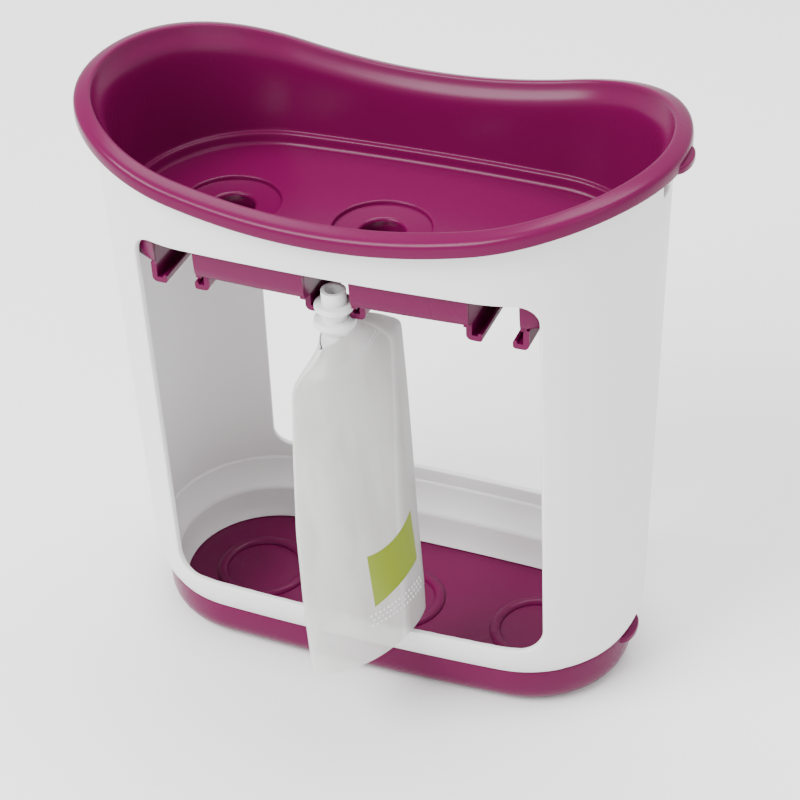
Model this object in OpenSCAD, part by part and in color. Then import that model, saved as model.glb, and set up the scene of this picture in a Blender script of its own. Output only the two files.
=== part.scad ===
// Food pouch filling station: a flared white shell with open windows stands on a
// shallow base, and carries a tray with a saddle-shaped rim. Food is pressed through
// three holes in the tray's floor into pouches that hang by their spouts in rails below.
// Origin: centre of the footprint on the table. X runs along the width, -Y is the front.

/* [Tray rim] */
// Length of the rim, end to end
rim_l = 232; // [210:0.2:260]
// Depth of the rim, front to back
rim_d = 130; // [118:0.2:136]
// Height of the rim's top at the middle of the long sides
rim_mid_z = 222.3; // [208:0.1:240]
// How far the rim rises from its middle to its ends
rim_rise = 19.8; // [6:0.1:30]
// How sharply the rise sweeps up towards the ends
rim_sweep = 2.1; // [1.5:0.1:3]
// How softly the rise levels off at the ends
rim_ease = 1.6; // [1:0.1:2.4]
// Width of the rolled rim, seen from above
rim_roll = 7; // [6:0.1:8]
// Depth of the rim's outer skirt
skirt_h = 7.6; // [7.6:0.1:12]
// How far the rim stands out beyond the shell
rim_overhang = 6.8; // [6.8:0.1:9]

/* [Tray tub] */
// Height of the tray floor's upper face
floor_z = 187; // [178:0.5:194]
// Thickness of the tray floor
floor_t = 2.2; // [1.8:0.1:3]
// Thickness of the tray's wall
tray_wall = 2.2; // [1.8:0.1:2.6]
// Height of the ledge round the tray floor
ledge_h = 4.5; // [2:0.1:8]
// Width of the ledge round the tray floor
ledge_w = 2; // [1:0.1:4]
// Height of the rounded edge under the tray
tray_round = 3; // [2:0.1:4]
// Running gap between the tray and the shell
tray_gap = 0.4; // [0.3:0.05:0.8]

/* [Filling holes] */
// Distance between neighbouring filling holes
hole_pitch = 62; // [56:0.5:64]
// Radius of a filling hole
hole_r = 8.9; // [8:0.1:10]
// Radius of the round seat for a press tube
seat_r = 19; // [16:0.1:20]
// Depth of the round seat
seat_depth = 1.8; // [1:0.1:3]
// Thickness of the seat's floor
seat_t = 2; // [1.6:0.1:3]

/* [Spout rails] */
// Width of the channel that a spout slides in, between the tray's side walls
channel_w = 18; // [16.5:0.5:20]
// Gap between the two lips that carry a spout
lip_gap = 11.4; // [10.4:0.1:12.4]
// Width across the outside of one rail
rail_w = 23.6; // [22:0.2:26]
// Thickness of a rail's wall
rail_t = 2.2; // [1.8:0.1:2.4]
// Depth of a rail below the tray floor's underside
rail_h = 8.3; // [7.8:0.1:10]
// How far a rail's mouth is set back behind the tray's front
rail_setback = 7.3; // [2:0.1:10]
// How far a rail's corners stay inside the tub's outer face
rail_clear = 1; // [0.6:0.1:3]
// Height of the channel's roof above the tray floor, at the front
roof_front = 12; // [9:0.5:13]
// Height of the channel's roof above the tray floor, at the seat
roof_back = 2.6; // [2.4:0.1:4]
// Thickness of the channel's roof and side walls
roof_t = 2; // [1.6:0.1:2.4]

/* [Shell] */
// Length of the shell at its foot, before its edge curves in
shell_foot_l = 209.4; // [198:0.2:212]
// Depth of the shell at its foot, before its edge curves in
shell_foot_d = 97; // [94:0.2:106]
// Height of the shell's foot above the table
shell_foot_z = 18.7; // [14:0.1:24]
// Thickness of the shell's wall
shell_wall = 2.5; // [2.4:0.1:3]
// How far the shell's lower edge curves in
tuck = 4; // [1:0.1:5]
// Height over which the lower edge curves in
tuck_h = 14; // [8:0.5:16]
// How far the long sides bow out between the round ends
bow = 1.5; // [1:0.1:6]
// Depth of the thinned lip at the shell's top edge
lip_h = 6; // [4:0.5:8]
// Thickness of the thinned lip
lip_t = 1.4; // [1.2:0.1:1.8]
// Height of the small ledge inside, below which the wall is thicker
ledge_z = 31.2; // [28:0.1:32]
// Width of the small ledge inside
inner_ledge = 0.7; // [0.4:0.1:1.5]
// Thickness of the tongue that stands inside the base
tongue_t = 1.8; // [1.4:0.1:2.4]

/* [Windows] */
// Height of the front window's lower edge
window_z0 = 33.6; // [33:0.1:40]
// Height of the rear window's lower edge
rear_z0 = 38; // [33:0.5:44]
// Height of the windows' upper edge
window_z1 = 198; // [180:0.1:199]
// Width of the front window at its lower edge
window_foot_w = 157; // [130:0.5:158]
// Width of the front window at its upper edge
window_top_w = 157.6; // [130:0.2:162]
// How much narrower the rear window is at its lower edge
rear_narrow_foot = 9; // [0:0.5:20]
// How much narrower the rear window is at its upper edge
rear_narrow_top = 4; // [0:0.5:20]
// Radius of the windows' corners
window_r = 9; // [4:0.5:16]

/* [Snap fastening] */
// Width of the snap slots in the shell's ends
snap_w = 8; // [6:0.5:10]
// Height of the snap slots
snap_h = 5.5; // [4.5:0.1:7]
// Height of the snap slots' centre below the rim's end
snap_drop = 18.2; // [18:0.1:24]
// Depth of the groove that leads a snap nose to its slot
snap_groove = 0.9; // [0.8:0.05:1]
// How far a snap nose reaches into its slot
snap_nose = 0.6; // [0.4:0.05:0.7]

/* [Base] */
// Thickness of the base's floor
base_floor = 3.2; // [2.8:0.1:4]
// Thickness of the base's wall at its top
base_wall = 2.3; // [2:0.1:3]
// How much further in the base's wall meets its floor
well_round = 2.4; // [1.5:0.1:4]
// Gap between the shell and the base
base_gap = 0.2; // [0.15:0.05:0.4]
// Height of the rounded edge under the base
base_round_h = 9.2; // [6:0.1:12]
// How far the base's long sides are drawn in at its underside
base_draw_in = 7.4; // [3:0.1:8]
// How far the base's ends are drawn in at its underside
base_end_in = 4.4; // [2:0.1:8]
// Outer radius of a raised ring on the base's floor
ring_r = 20; // [16:0.5:21]
// Width of a raised ring
ring_w = 4.6; // [3:0.2:6]
// Height of a raised ring
ring_h = 1.6; // [1:0.1:2.3]

/* [Pull tabs] */
// Length of a pull tab along the edge
tab_l = 19; // [14:1:24]
// How far a pull tab stands out
tab_out = 5; // [3:0.5:7]
// Thickness of a pull tab
tab_t = 3; // [2:0.1:3.6]

/* [Feet] */
// Radius of a rubber foot
foot_r = 7; // [5:0.5:9]
// How far the feet stand below the base
foot_drop = 1.2; // [1:0.1:2]
// Depth of the recess that a foot is stuck in
foot_recess = 1; // [0.6:0.1:1.2]
// Distance from the shell's end to the middle of a foot
foot_in_x = 34.7; // [30:0.1:50]
// Distance from the shell's long side to the middle of a foot
foot_in_y = 24.5; // [22:0.1:34]

/* [Pouch spout] */
// Outer radius of the spout's neck
neck_r = 4.7; // [4.4:0.1:5]
// Radius of the bore through the spout
neck_bore_r = 3.3; // [3:0.1:3.6]
// Height of the neck above its upper flange
neck_h = 5.2; // [3:0.1:5.4]
// Radius of the upper flange, which the rail's lips carry
flange_r = 7.4; // [7:0.1:8]
// Thickness of the upper flange
flange_t = 2.6; // [2:0.1:2.7]
// Radius of the lower flange
collar_r = 7.9; // [7:0.1:9]
// Thickness of the lower flange
collar_flange_t = 2.8; // [2:0.1:4]
// Gap between a flange and the rail's lips
flange_gap = 0.3; // [0.2:0.05:0.5]
// Length of the boat-shaped foot that the film is sealed to
boat_l = 24; // [18:1:30]
// Width of the boat-shaped foot
boat_w = 8.5; // [7:0.5:10]
// Height of the boat-shaped foot
boat_h = 12; // [8:0.5:14]
// Length of the straw below the boat
straw_l = 24; // [10:1:40]
// Radius of the straw
straw_r = 3.6; // [3.5:0.1:4.4]
// How far the spout stands in front of the rail's mouth at rest
pouch_lead = 0.8; // [-4:0.1:2]

/* [Pouch film] */
// Width of the pouch at its middle
pouch_w = 66; // [56:1:72]
// Height of the pouch's closed bottom
pouch_foot_z = 37; // [35:0.5:60]
// Thickness of the open bottom of the pouch
pouch_foot_t = 30; // [10:1:36]
// Height of the shoulders below the pouch's top
shoulder_drop = 17; // [12:1:24]
// Gap between the film's solid and the spout's foot
film_gap = 0.3; // [0.2:0.05:0.5]

/* [Hidden] */

eps = 0.01;
magenta = [0.62, 0.13, 0.40];
white = [0.94, 0.94, 0.94];
rubber_grey = [0.35, 0.33, 0.34];
spout_white = [0.92, 0.93, 0.94];
film_white = [0.86, 0.87, 0.86];

end_steps = 11;    // facets in a quarter's round end
side_steps = 5;    // facets in a quarter's long side
quarter = end_steps + side_steps;
ring_n = 4 * quarter;

rim_a = rim_l / 2;
rim_b = rim_d / 2;
shell_top_z = rim_mid_z - skirt_h + 1;
foot_a = shell_foot_l / 2;
foot_b = shell_foot_d / 2;
top_a = rim_a - rim_overhang;
top_b = rim_b - rim_overhang;
tub_in = rim_overhang + shell_wall + tray_gap;   // tub's outer wall, from the rim's edge
tub_low = tub_in + 1.3;                          // the same at the tub's bottom
under_z = floor_z - floor_t;
seat_z = floor_z - seat_depth;
seat_under_z = seat_z - seat_t;
boss_r = seat_r + 2;
hole_x = [-hole_pitch, 0, hole_pitch];

rail_low_z = under_z - rail_h;
lip_top_z = rail_low_z + 3.4;
tray_front = rim_b - tub_low;
rail_front = tray_front - rail_setback;

slot_z = rim_mid_z + rim_rise - snap_drop;
base_z = foot_drop;
base_top_z = shell_foot_z - base_gap;
floor_top_z = base_z + base_floor;
foot_x = foot_a - foot_in_x;
foot_y = foot_b - foot_in_y;
pouch_out = rail_front + pouch_lead;

upper_flange_z = lip_top_z + flange_gap;
lower_flange_z = rail_low_z - flange_gap;
film_top_z = lower_flange_z - collar_flange_t - 3;
straw_low_z = film_top_z - boat_h - straw_l;

// ---- four-arc oval: half-length a, half-depth b, round ends of radius b - bow ----

function quarter_point(a, b, j) =
    let (r = b - bow,
         side_r = (a * a - 2 * a * r + b * b) / (2 * (b - r)),
         turn = atan((a - r) / (side_r - b)),
         t = j <= end_steps ? (90 - turn) * j / end_steps
                            : 90 - turn * (quarter - j) / side_steps)
    j <= end_steps ? [a - r + r * cos(t), r * sin(t)]
                   : [side_r * cos(t), side_r * sin(t) - side_r + b];

function oval_point(a, b, i) =
    let (q = floor(i / quarter) % 4, j = i % quarter,
         p = quarter_point(a, b, q % 2 == 0 ? j : quarter - j))
    [(q == 1 || q == 2 ? -1 : 1) * p.x, (q > 1 ? -1 : 1) * p.y];

function oval(a, b) = [for (i = [0:ring_n - 1]) oval_point(a, b, i)];

// Rise of the saddle-shaped rim at a distance x from the middle
function rise(x) =
    rim_rise * (1 - pow(max(0, 1 - pow(abs(x) / rim_a, rim_sweep)), rim_ease));

// Solid through a stack of rings, each a list of points; loop joins the last to the first
module ring_solid(rings, loop = false) {
    n = len(rings[0]);
    m = len(rings);
    walls = [for (k = [0:m - (loop ? 1 : 2)], i = [0:n - 1])
        let (a = k * n + i, b = k * n + (i + 1) % n,
             c = ((k + 1) % m) * n + (i + 1) % n, d = ((k + 1) % m) * n + i)
        each [[a, c, b], [a, d, c]]];
    caps = loop ? [] : [[for (i = [0:n - 1]) i], [for (i = [n - 1:-1:0]) (m - 1) * n + i]];
    polyhedron([for (ring = rings) each ring], concat(walls, caps), convexity = 6);
}

// ---- shell ----

// Inward curve of the shell's lower edge at height z
function tuck_at(z) = tuck * pow(max(0, 1 - (z - shell_foot_z) / tuck_h), 2);

// Half sizes of the shell's outer face at height z
function shell_a(z) =
    foot_a + (top_a - foot_a) * (z - shell_foot_z) / (shell_top_z - shell_foot_z) - tuck_at(z);
function shell_b(z) =
    foot_b + (top_b - foot_b) * (z - shell_foot_z) / (shell_top_z - shell_foot_z) - tuck_at(z);

// Ring on the shell at height z, a depth inside its outer face; along = 1 follows the saddle
function shell_ring(z, depth, along = 0) =
    [for (i = [0:ring_n - 1])
        let (guess = oval_point(shell_a(z) - depth, shell_b(z) - depth, i),
             h = z + along * rise(guess.x),
             p = oval_point(shell_a(h) - depth, shell_b(h) - depth, i))
        [p.x, p.y, h]];

// Window outline: four straight sides with round corners
module window_outline(foot_w, top_w, low_z) {
    half0 = foot_w / 2 - window_r;
    half1 = top_w / 2 - window_r;
    z0 = low_z + window_r;
    z1 = window_z1 - window_r;
    corners = [[half0, z0, -90], [half1, z1, 0], [-half1, z1, 90], [-half0, z0, 180]];
    polygon([for (c = corners, step = [0:6])
        let (t = c[2] + 15 * step) [c.x + window_r * cos(t), c.y + window_r * sin(t)]]);
}

// Ring below the shell's foot, a depth inside its outer face there
function foot_ring(depth, z) =
    [for (p = oval(shell_a(shell_foot_z) - depth, shell_b(shell_foot_z) - depth)) [p.x, p.y, z]];

// Depth of the well's wall in the base; s runs from 0 at the floor to 1 at the wall's top
function well_in(s) = base_wall + well_round * pow(1 - s, 3);

// The wall stands on the base with its foot; a tongue goes on down inside the base's wall
module shell() {
    tuck_steps = [for (k = [0:3]) shell_foot_z + tuck_h * k / 3];
    outer = [for (z = tuck_steps) shell_ring(z, 0)];
    thick = shell_wall + inner_ledge;
    lining = base_wall + base_gap + tongue_t - thick;
    low_z = floor_top_z + base_gap;
    steps = [0, 0.2, 0.45, 1];
    inner = concat([shell_ring(ledge_z + 0.7, shell_wall), shell_ring(ledge_z, thick)],
        [for (k = [2:-1:0]) shell_ring(tuck_steps[k], thick + lining * pow(1 - k / 3, 1.5))],
        [for (k = [2:-1:0]) foot_ring(well_in(steps[k]) + base_gap + tongue_t,
                                      low_z + (shell_foot_z - low_z) * steps[k])],
        [for (k = [0:3]) foot_ring(well_in(steps[k]) + base_gap,
                                   low_z + (shell_foot_z - low_z) * steps[k])]);
    rebate_z = shell_top_z - lip_h;
    end_in = shell_a(slot_z) - shell_wall;
    color(white) difference() {
        ring_solid(concat(outer,
            [shell_ring(shell_top_z, 0, 1),
             shell_ring(shell_top_z, lip_t, 1),
             shell_ring(rebate_z, lip_t, 1),
             shell_ring(rebate_z - 1, shell_wall, 1)],
            inner), loop = true);
        rotate([90, 0, 0]) linear_extrude(rim_b)
            window_outline(window_foot_w, window_top_w, window_z0);
        translate([0, rim_b, 0]) rotate([90, 0, 0]) linear_extrude(rim_b)
            window_outline(window_foot_w - rear_narrow_foot, window_top_w - rear_narrow_top, rear_z0);
        for (side = [-1, 1]) {
            translate([side * end_in, 0, slot_z]) cube([4 * shell_wall, snap_w, snap_h], center = true);
            translate([side * end_in, 0, slot_z + rim_rise / 2])
                cube([2 * snap_groove, snap_w, rim_rise], center = true);
        }
    }
}

// ---- top tray ----

// Ring at a distance from the rim's edge, dz from the rim's top
function rim_ring(inset, dz) =
    [for (p = oval(rim_a - inset, rim_b - inset)) [p.x, p.y, rim_mid_z + dz + rise(p.x)]];

// Level ring at a distance from the rim's edge
function tub_ring(inset, z) = [for (p = oval(rim_a - inset, rim_b - inset)) [p.x, p.y, z]];

// The tub with its rolled rim: up its outside, over the rim and down to its floor
module tub() {
    wall_in = tub_low + tray_wall;
    ring_solid([
        tub_ring(tub_low + tray_round, under_z),
        tub_ring(tub_low + tray_round * 0.3, under_z + tray_round * 0.3),
        tub_ring(tub_low, under_z + tray_round),
        rim_ring(tub_in, -skirt_h - 5),
        rim_ring(tub_in - 0.4, -skirt_h - 1.6),
        rim_ring(rim_roll + 1.6, -skirt_h + 1.6),
        rim_ring(rim_roll - 0.6, -4.2),
        rim_ring(rim_roll - 2.6, -3.6),
        rim_ring(2.4, -4.2),
        rim_ring(2, -skirt_h),
        rim_ring(0.4, -skirt_h),
        rim_ring(0, -skirt_h + 0.6),
        rim_ring(0, -3.6),
        rim_ring(0.6, -2.2),
        rim_ring(2.2, -1.3),
        rim_ring(rim_roll - 2.4, -0.5),
        rim_ring(rim_roll - 1.2, -0.1),
        rim_ring(rim_roll - 0.4, -0.3),
        rim_ring(rim_roll, -1.2),
        rim_ring(rim_roll + 1.2, -4),
        rim_ring(rim_roll + 3.6, -skirt_h + 1.2),
        rim_ring(tub_in + tray_wall - 0.6, -skirt_h - 2),
        rim_ring(tub_in + tray_wall, -skirt_h - 6),
        tub_ring(wall_in, floor_z + ledge_h + 1),
        tub_ring(wall_in + 0.6, floor_z + ledge_h),
        tub_ring(wall_in + ledge_w, floor_z + ledge_h - 0.6),
        tub_ring(wall_in + ledge_w + 0.4, floor_z + 1),
        tub_ring(wall_in + ledge_w + 1.4, floor_z)]);
}

// Side view of a spout channel: high at the front, low where it meets the seat
module channel_side(grow) {
    ramp = 16;
    polygon([[-rim_b, under_z - 3], [-rim_b, floor_z + roof_front + grow],
             [-tray_front + 6, floor_z + roof_front + grow],
             [-tray_front + 6 + ramp, floor_z + roof_back + grow],
             [-seat_r + 3, floor_z + roof_back + grow], [-seat_r + 3, seat_z],
             [-seat_r, seat_z], [-seat_r, under_z - 3]]);
}

// Runs a side view across the width, centred on x = 0
module across(width) {
    rotate([90, 0, 90]) translate([0, 0, -width / 2]) linear_extrude(width) children();
}

// The space inside the tub's wall, for trimming what is built in it
module tub_inside() {
    ring_solid([
        tub_ring(tub_low + tray_round, under_z),
        tub_ring(tub_low + tray_round * 0.3, under_z + tray_round * 0.3),
        tub_ring(tub_low, under_z + tray_round),
        tub_ring(tub_low, floor_z + roof_front + roof_t + 1)]);
}

// Flat tab with round corners, for pulling two parts off each other
module pull_tab(reach) {
    corner = 3;
    for (side = [-1, 1]) translate([side * (reach - tab_out), 0, 0]) linear_extrude(tab_t) {
        square([2 * tab_out - 2 * corner, tab_l], center = true);
        square([2 * tab_out, tab_l - 2 * corner], center = true);
        for (x = [-1, 1], y = [-1, 1])
            translate([x * (tab_out - corner), y * (tab_l / 2 - corner)]) circle(corner, $fn = 24);
    }
}

module top_tray() {
    nose_h = snap_h - 1;
    nose_tip = shell_a(slot_z) - shell_wall + snap_nose;
    color(magenta) difference() {
        union() {
            tub();
            intersection() {
                for (x = hole_x) translate([x, 0, 0]) across(channel_w + 2 * roof_t) channel_side(roof_t);
                tub_inside();
            }
            for (x = hole_x) translate([x, 0, seat_under_z]) cylinder(r = boss_r, h = floor_z - seat_under_z);
            for (side = [-1, 1]) translate([side * (nose_tip - 1.5), 0, slot_z])
                cube([3, snap_w - 1, nose_h], center = true);
            translate([0, 0, rim_mid_z + rim_rise - skirt_h - tab_t + 1]) difference() {
                pull_tab(rim_a + tab_out);
                translate([0, 0, tab_t / 2]) cube([rim_l - 7, rim_d, 2 * tab_t], center = true);
            }
        }
        for (x = hole_x) translate([x, 0, 0]) {
            across(channel_w) channel_side(0);
            translate([0, 0, seat_z]) cylinder(r = seat_r, h = roof_front + seat_depth + roof_t, $fn = 72);
            translate([0, 0, seat_under_z - 1]) cylinder(r = hole_r, h = seat_t + 2, $fn = 48);
            translate([-lip_gap / 2 + 0.4, -seat_r - 1, seat_under_z - 1])
                cube([lip_gap - 0.8, seat_r + 1, seat_t + 2]);
        }
    }
}

// ---- spout rails ----

// Section of one side of a rail: a wall that hangs down and hooks in to a raised lip
module rail_section() {
    outer = rail_w / 2;
    tip = lip_gap / 2;
    r = rail_t;
    difference() {
        union() {
            translate([outer - rail_t, rail_low_z + r]) square([rail_t, under_z - rail_low_z - r]);
            translate([tip + 1, rail_low_z]) square([outer - tip - 1 - r, r]);
            translate([outer - r, rail_low_z + r]) circle(r, $fn = 32);
            translate([tip + 1, rail_low_z + 1]) circle(1, $fn = 24);
            translate([tip, rail_low_z + 1]) square([1.6, lip_top_z - rail_low_z - 1.8]);
            translate([tip + 0.8, lip_top_z - 0.8]) circle(0.8, $fn = 24);
        }
        translate([tip + 1.6, rail_low_z + r]) square([outer - rail_t - tip - 1.6, rail_h]);
    }
}

// A rail in the middle of the tray, turned round its closed end; x moves it to its hole, where
// its front corners follow the curve of the tub
module spout_rail(x) {
    color(magenta) intersection() {
        translate([x, 0, 0]) difference() {
            union() {
                rotate_extrude(angle = 180, $fn = 64) rail_section();
                for (side = [0, 1]) mirror([side, 0, 0]) rotate([90, 0, 0])
                    linear_extrude(rail_front) rail_section();
            }
            translate([0, 0, seat_under_z]) cylinder(r = boss_r + 0.2, h = rail_h, $fn = 72);
        }
        translate([0, 0, rail_low_z - 1]) linear_extrude(rail_h + 2)
            polygon(oval(rim_a - tub_low - rail_clear, rim_b - tub_low - rail_clear));
    }
}

module spout_rail_left() { spout_rail(-hole_pitch); }
module spout_rail_middle() { spout_rail(0); }
module spout_rail_right() { spout_rail(hole_pitch); }

// ---- base ----

// Ring on the base's outer face; turn runs from 0 at its underside to 90 where it is upright
function base_ring(turn) =
    let (share = 1 - sin(turn))
    [for (p = oval(shell_a(shell_foot_z) - share * base_end_in,
                   shell_b(shell_foot_z) - share * base_draw_in))
        [p.x, p.y, base_z + base_round_h * (1 - cos(turn))]];

module base() {
    well_h = base_top_z - floor_top_z;
    color(magenta) difference() {
        union() {
            ring_solid(concat(
                [for (turn = [0:18:90]) base_ring(turn)],
                [foot_ring(0, base_top_z)],
                [for (s = [1, 0.45, 0.2, 0]) foot_ring(well_in(s), floor_top_z + well_h * s)]));
            for (x = hole_x) translate([x, 0, floor_top_z]) floor_ring();
            translate([0, 0, base_top_z - tab_t - 0.4]) difference() {
                pull_tab(shell_a(shell_foot_z) + tab_out);
                translate([0, 0, tab_t / 2])
                    cube([2 * shell_a(shell_foot_z) - 4, rim_d, 2 * tab_t], center = true);
            }
        }
        for (x = [-foot_x, foot_x], y = [-foot_y, foot_y]) translate([x, y, base_z - 1])
            cylinder(r = foot_r + 0.1, h = foot_recess + 1, $fn = 48);
    }
}

// Raised ring with a round top, under each filling hole
module floor_ring() {
    mid = ring_r - ring_w / 2;
    rotate_extrude($fn = 72) {
        translate([mid - ring_w / 2, -eps]) square([ring_w, ring_h * 0.4 + eps]);
        translate([mid - ring_w / 2 + ring_h * 0.6, 0]) square([ring_w - ring_h * 1.2, ring_h]);
        for (side = [-1, 1]) translate([mid + side * (ring_w / 2 - ring_h * 0.6), ring_h * 0.4])
            circle(ring_h * 0.6, $fn = 32);
    }
}

// ---- feet ----

module foot(side_x, side_y) {
    color(rubber_grey) translate([side_x * foot_x, side_y * foot_y, 0]) rotate_extrude($fn = 48) {
        square([foot_r - 0.6, foot_drop + foot_recess]);
        translate([0, 0.6]) square([foot_r, foot_drop + foot_recess - 0.6]);
        translate([foot_r - 0.6, 0.6]) circle(0.6, $fn = 24);
    }
}

module foot_front_left() { foot(-1, -1); }
module foot_front_right() { foot(1, -1); }
module foot_rear_left() { foot(-1, 1); }
module foot_rear_right() { foot(1, 1); }

// ---- pouch ----

// Boat-shaped outline: two arcs that meet in points, long side along Y
module boat(l, w, h) {
    arc_r = (l * l + w * w) / (4 * w);
    intersection_for(side = [-1, 1])
        translate([side * (arc_r - w / 2), 0, 0]) cylinder(r = arc_r, h = h, $fn = 96);
}

module pouch_spout() {
    neck_top_z = upper_flange_z + flange_t + neck_h;
    cone_z = lower_flange_z - collar_flange_t;
    color(spout_white) translate([0, -pouch_out, 0]) difference() {
        union() {
            translate([0, 0, cone_z]) cylinder(r = neck_r, h = neck_top_z - cone_z, $fn = 48);
            translate([0, 0, upper_flange_z]) disc(flange_r, flange_t);
            translate([0, 0, cone_z]) disc(collar_r, collar_flange_t);
            translate([0, 0, film_top_z]) cylinder(r = neck_r + 0.6, h = cone_z - film_top_z, $fn = 48);
            translate([0, 0, film_top_z - boat_h]) boat(boat_l, boat_w, boat_h);
            translate([0, 0, straw_low_z]) cylinder(r = straw_r, h = straw_l + boat_h, $fn = 40);
        }
        translate([0, 0, straw_low_z - 1])
            cylinder(r = straw_r - 1, h = film_top_z - straw_low_z + 2, $fn = 40);
        translate([0, 0, film_top_z + 0.5])
            cylinder(r = neck_bore_r, h = neck_top_z - film_top_z, $fn = 40);
    }
}

// Round plate with a rounded rim
module disc(r, t) {
    edge = t * 0.3;
    rotate_extrude($fn = 56) {
        square([r - edge, t]);
        translate([0, edge]) square([r, t - 2 * edge]);
        for (y = [edge, t - edge]) translate([r - edge, y]) circle(edge, $fn = 24);
    }
}

// Lens-shaped ring of film from a front edge to a rear edge, thickness t at its middle
film_n = 36;
function film_ring(z, front, rear, t) =
    let (mid = (front + rear) / 2, along = (rear - front) / 2, l = norm(along),
         across = [along.y, -along.x] / l)
    [for (i = [0:film_n - 1])
        let (turn = 360 * i / film_n,
             p = mid + along * cos(turn) - across * (t / 2) * sin(turn) * (0.75 + 0.25 * abs(sin(turn))))
        [p.x, p.y - pouch_out, z]];

module pouch_film() {
    h = film_top_z - pouch_foot_z;
    shoulder_z = film_top_z - shoulder_drop;
    u = pouch_w / 66;
    color(film_white) difference() {
        ring_solid([
            film_ring(pouch_foot_z, u * [4, -36], u * [19, 24], pouch_foot_t * 0.8),
            film_ring(pouch_foot_z + 3, u * [1, -40], u * [21, 25], pouch_foot_t),
            film_ring(pouch_foot_z + h * 0.2, u * [-3, -36], u * [17, 30.5], pouch_foot_t * 0.85),
            film_ring(pouch_foot_z + h * 0.42, u * [-7, -30], u * [14.5, 34], pouch_foot_t * 0.7),
            film_ring(pouch_foot_z + h * 0.65, u * [-9, -24], u * [12, 37], pouch_foot_t * 0.6),
            film_ring(shoulder_z, u * [-10, -19], u * [10, 38], pouch_foot_t * 0.48),
            film_ring(film_top_z - shoulder_drop * 0.45, u * [-5, -15], u * [6, 26], boat_w + 4),
            film_ring(film_top_z, [0, -boat_l / 2 - 1.5], [0, boat_l / 2 + 1.5], boat_w + 3)]);
        translate([0, -pouch_out, film_top_z - boat_h - film_gap])
            boat(boat_l + 2 * film_gap, boat_w + 2 * film_gap, boat_h + 1);
        translate([0, -pouch_out, straw_low_z - film_gap])
            cylinder(r = straw_r + film_gap, h = straw_l + boat_h + 1, $fn = 40);
    }
}

shell();
top_tray();
spout_rail_left();
spout_rail_middle();
spout_rail_right();
base();
foot_front_left();
foot_front_right();
foot_rear_left();
foot_rear_right();
pouch_spout();
pouch_film();
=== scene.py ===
import math

import bmesh
import bpy
import numpy as np
from mathutils import Matrix, Vector
from mathutils.geometry import delaunay_2d_cdt


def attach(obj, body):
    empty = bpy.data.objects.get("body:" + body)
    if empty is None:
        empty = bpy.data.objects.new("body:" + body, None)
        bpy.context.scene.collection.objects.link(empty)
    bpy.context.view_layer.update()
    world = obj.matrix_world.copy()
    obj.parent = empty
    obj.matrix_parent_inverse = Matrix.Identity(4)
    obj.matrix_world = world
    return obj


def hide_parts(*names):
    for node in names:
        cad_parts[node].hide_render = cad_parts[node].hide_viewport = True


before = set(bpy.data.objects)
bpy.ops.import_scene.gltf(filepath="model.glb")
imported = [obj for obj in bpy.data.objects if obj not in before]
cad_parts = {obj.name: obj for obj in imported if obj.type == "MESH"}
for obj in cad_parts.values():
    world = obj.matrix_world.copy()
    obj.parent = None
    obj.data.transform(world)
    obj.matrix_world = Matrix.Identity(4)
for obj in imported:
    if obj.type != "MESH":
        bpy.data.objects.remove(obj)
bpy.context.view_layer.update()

mm = 0.001  # sizes are in millimetres, as on the drawing, and turned into metres by this


# shader maths: a Value wraps a socket, so that node trees read as plain expressions

class Value:
    def __init__(self, finish, socket):
        self.finish, self.socket = finish, socket

    def math(self, operation, first, second):
        return self.finish.node("ShaderNodeMath", {"operation": operation}, {0: first, 1: second})

    def __add__(self, other):
        return self.math("ADD", self, other)

    def __sub__(self, other):
        return self.math("SUBTRACT", self, other)

    def __rsub__(self, other):
        return self.math("SUBTRACT", other, self)

    def __mul__(self, other):
        return self.math("MULTIPLY", self, other)

    def __gt__(self, other):
        return self.math("GREATER_THAN", self, other)

    def __lt__(self, other):
        return self.math("LESS_THAN", self, other)


class Tree:
    # nodes of any kind are made by one method: its type, its settings, and its sockets' values or links
    def __init__(self, tree):
        self.tree = tree

    def node(self, kind, settings, sockets, output=0):
        made = self.tree.nodes.new(kind)
        for key, value in settings.items():
            if key == "stops":  # a colour ramp's (position, colour) pairs
                ramp = made.color_ramp
                while len(ramp.elements) < len(value):
                    ramp.elements.new(0.5)
                for element, (position, colour) in zip(ramp.elements, value):
                    element.position, element.color = position, (*colour, 1)
            else:
                setattr(made, key, value)
        for key, value in sockets.items():
            self.feed(made.inputs[key], value)
        return Value(self, made.outputs[output])

    def feed(self, socket, value):
        if isinstance(value, Value):
            self.tree.links.new(value.socket, socket)
        else:
            socket.default_value = value


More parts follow.
